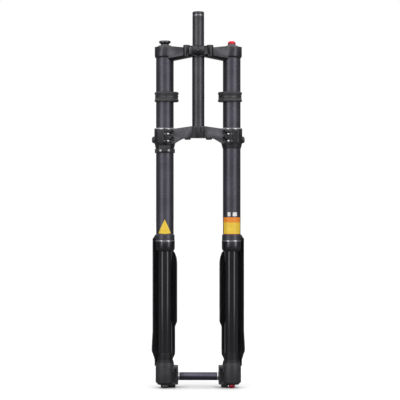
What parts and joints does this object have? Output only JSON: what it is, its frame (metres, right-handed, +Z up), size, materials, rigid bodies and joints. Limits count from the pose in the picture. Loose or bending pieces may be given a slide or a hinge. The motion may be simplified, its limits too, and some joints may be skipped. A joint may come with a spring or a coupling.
{
  "type": "suspension fork",
  "caption": "Inverted dual-crown bicycle suspension fork: clamped upper tubes, sliding inner tubes with guards, air spring and damper legs, through axle.",
  "frame": {"origin": "steerer axis, on top of the lower crown, where the headset's crown race rests", "axes": "+Z up the steerer, +Y forward (travel direction of the bicycle), +X to the rider's right (damper leg)"},
  "size_m": [0.2314, 0.0995, 0.925],
  "materials": {
    "crown_metal": "satin black forged aluminium",
    "upper_tube_metal": "satin black anodised",
    "steerer_metal": "satin black anodised",
    "inner_tube_metal": "gloss black hard coat",
    "collar_metal": "satin black anodised",
    "bare_metal": "machined",
    "bumper_rubber": "matt",
    "band_steel": "blackened",
    "seal_rubber": "matt",
    "guard_plastic": "gloss",
    "dropout_metal": "satin black casting",
    "axle_metal": "black anodised",
    "bolt_steel": "bright zinc",
    "dark_bolt": "black oxide",
    "knob_red": "red anodised",
    "cap_metal": "black anodised",
    "guide_plastic": "moulded",
    "cartridge_metal": "drawn tube",
    "shaft_steel": "polished",
    "bushing_metal": "coated bronze",
    "piston_metal": "machined",
    "sticker_vinyl": "printed vinyl",
    "bumper_urethane": "urethane"
  },
  "bodies": {
    "chassis": {"steerer_tube": "steerer_metal", "top_crown": "crown_metal", "lower_crown": "crown_metal", "top_crown_bolts": "bolt_steel", "lower_crown_bolts": "bolt_steel", "crown_side_plugs": "bumper_rubber", "left_upper_tube": "upper_tube_metal", "right_upper_tube": "upper_tube_metal", "left_trim_ring": "bare_metal", "right_trim_ring": "bare_metal", "left_seal_collar": "collar_metal", "right_seal_collar": "collar_metal", "left_oil_seal": "seal_rubber", "right_oil_seal": "seal_rubber", "left_dust_wiper": "seal_rubber", "right_dust_wiper": "seal_rubber", "left_lower_bushing": "bushing_metal", "right_lower_bushing": "bushing_metal", "left_frame_bumper": "bumper_rubber", "right_frame_bumper": "bumper_rubber", "bumper_bands": "band_steel", "hose_guide_clamp": "guide_plastic", "hose_guide_cover": "guide_plastic", "hose_guide_screws": "bolt_steel", "air_top_cap": "cap_metal", "damper_top_cap": "cap_metal", "air_valve_body": "cap_metal", "air_cartridge_tube": "cartridge_metal", "air_seal_head": "piston_metal", "damper_cartridge_tube": "cartridge_metal", "damper_seal_head": "piston_metal", "compression_valve_stem": "piston_metal", "compression_valve": "piston_metal"},
    "lower_legs": {"left_inner_tube": "inner_tube_metal", "right_inner_tube": "inner_tube_metal", "left_top_bushing": "bushing_metal", "right_top_bushing": "bushing_metal", "left_dropout": "dropout_metal", "right_dropout": "dropout_metal", "left_guard": "guard_plastic", "right_guard": "guard_plastic", "guard_screws": "dark_bolt", "axle_pinch_bolts": "dark_bolt", "left_foot_bolt": "cap_metal", "right_foot_nut": "dark_bolt", "air_shaft": "shaft_steel", "air_piston": "piston_metal", "air_piston_ring": "seal_rubber", "top_out_bumper": "bumper_urethane", "bottom_out_bumper": "bumper_urethane", "damper_rod": "shaft_steel", "rebound_piston": "piston_metal"},
    "axle": {"through_axle": "axle_metal"},
    "compression_adjuster": {"compression_knob": "knob_red", "compression_needle": "shaft_steel"},
    "rebound_adjuster": {"rebound_knob": "knob_red", "rebound_adjuster_rod": "shaft_steel"},
    "valve_cap": {"air_valve_cap": "cap_metal"},
    "valve_pin": {"air_valve_pin": "shaft_steel"},
    "floating_piston": {"floating_piston": "piston_metal"}
  },
  "joints": [
    {"name": "fork_travel", "type": "slide", "parent": "chassis", "child": "lower_legs", "axis": [0, 0, 1], "range_m": [0, 0.18], "stiffness_N_per_m": 4000, "springref_m": -0.04},
    {"name": "axle_pull", "type": "slide", "parent": "lower_legs", "child": "axle", "axis": [1, 0, 0], "range_m": [0, 0.21]},
    {"name": "compression_turn", "type": "hinge", "parent": "chassis", "child": "compression_adjuster", "pos_m": [0.0825, 0.03, 0.205], "axis": [0, 0, 1], "range_deg": [-180, 180]},
    {"name": "rebound_turn", "type": "hinge", "parent": "lower_legs", "child": "rebound_adjuster", "pos_m": [0.0825, 0.03, -0.64], "axis": [0, 0, 1], "range_deg": [-180, 180]},
    {"name": "valve_cap_lift", "type": "slide", "parent": "chassis", "child": "valve_cap", "axis": [0, 0, 1], "range_m": [0, 0.03]},
    {"name": "valve_pin_press", "type": "slide", "parent": "chassis", "child": "valve_pin", "axis": [0, 0, -1], "range_m": [0, 0.0015], "stiffness_N_per_m": 1500, "springref_m": -0.001},
    {"name": "floating_piston_rise", "type": "slide", "parent": "chassis", "child": "floating_piston", "axis": [0, 0, 1], "range_m": [0, 0.0455]}
  ],
  "couplings": [
    {"joint": "floating_piston_rise", "follows": "fork_travel", "ratio": 0.25}
  ]
}
